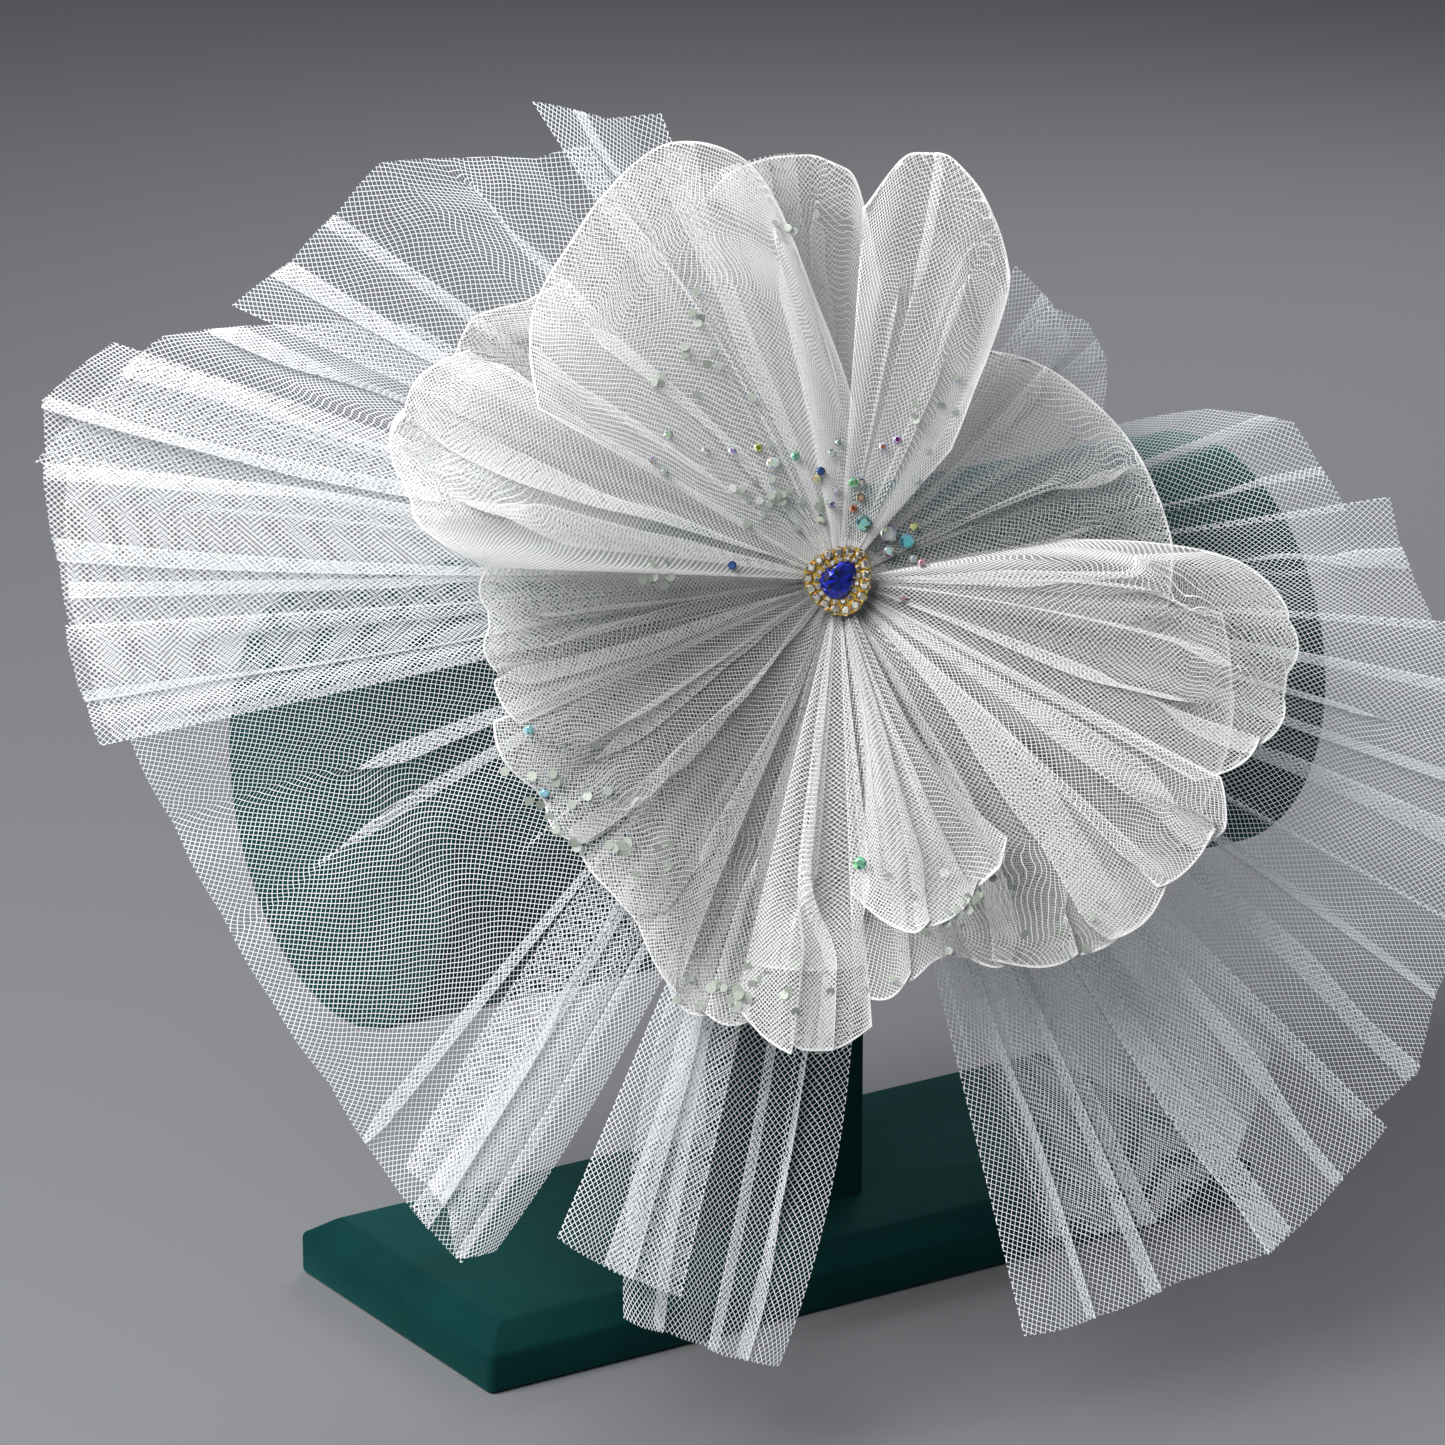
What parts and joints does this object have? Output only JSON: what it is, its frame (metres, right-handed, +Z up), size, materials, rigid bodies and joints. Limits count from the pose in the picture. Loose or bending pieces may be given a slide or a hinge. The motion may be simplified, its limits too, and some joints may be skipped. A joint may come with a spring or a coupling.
{
  "type": "tulle bridal hair veil on a velvet roll stand",
  "caption": "Short bridal hair veil: leaves of stiff net and folded tulle puffs fanned from one jewelled knot, resting on a velvet-covered display roll with a slab base.",
  "frame": {"origin": "centre of the stand base's underside", "axes": "+Z up, +X along the roll, -Y towards the side that the veil hangs on"},
  "size_m": [0.4236, 0.2399, 0.3516],
  "materials": {
    "net": "stiff coarse white polyester net, open diamond mesh",
    "tulle": "soft fine ivory-white tulle, matt with a faint sheen",
    "felt": "plain white felt",
    "velvet": "dark teal velvet with a short nap",
    "gold": "polished pale gold plating",
    "crystal": "cut clear crystal",
    "sapphire": "cut royal-blue glass stone with a foiled back"
  },
  "bodies": {
    "root": {"backing_pad": "felt", "brooch_ring": "crystal", "brooch_setting": "gold", "brooch_stone": "sapphire", "gathered_knot": "tulle", "net_bottom": "net", "net_bottom_left": "net", "net_bottom_left_back": "net", "net_bottom_right": "net", "net_bottom_right_back": "net", "net_left": "net", "net_left_back": "net", "net_left_strip": "net", "net_low_left": "net", "net_right": "net", "net_right_low": "net", "net_right_tip": "net", "net_right_top": "net", "net_top": "net", "net_top_left": "net", "net_top_right": "net", "net_top_right_back": "net", "net_top_spike": "net", "net_upper_left": "net", "puff_bottom": "tulle", "puff_bottom_back": "tulle", "puff_bottom_right": "tulle", "puff_front_loop": "tulle", "puff_left": "tulle", "puff_left_low": "tulle", "puff_low_left": "tulle", "puff_low_right": "tulle", "puff_low_right_back": "tulle", "puff_right": "tulle", "puff_right_back": "tulle", "puff_top": "tulle", "puff_top_left": "tulle", "puff_top_right": "tulle", "puff_upper_left": "tulle", "stand_base": "velvet", "stand_post": "velvet", "stand_roll": "velvet"}
  },
  "joints": []
}
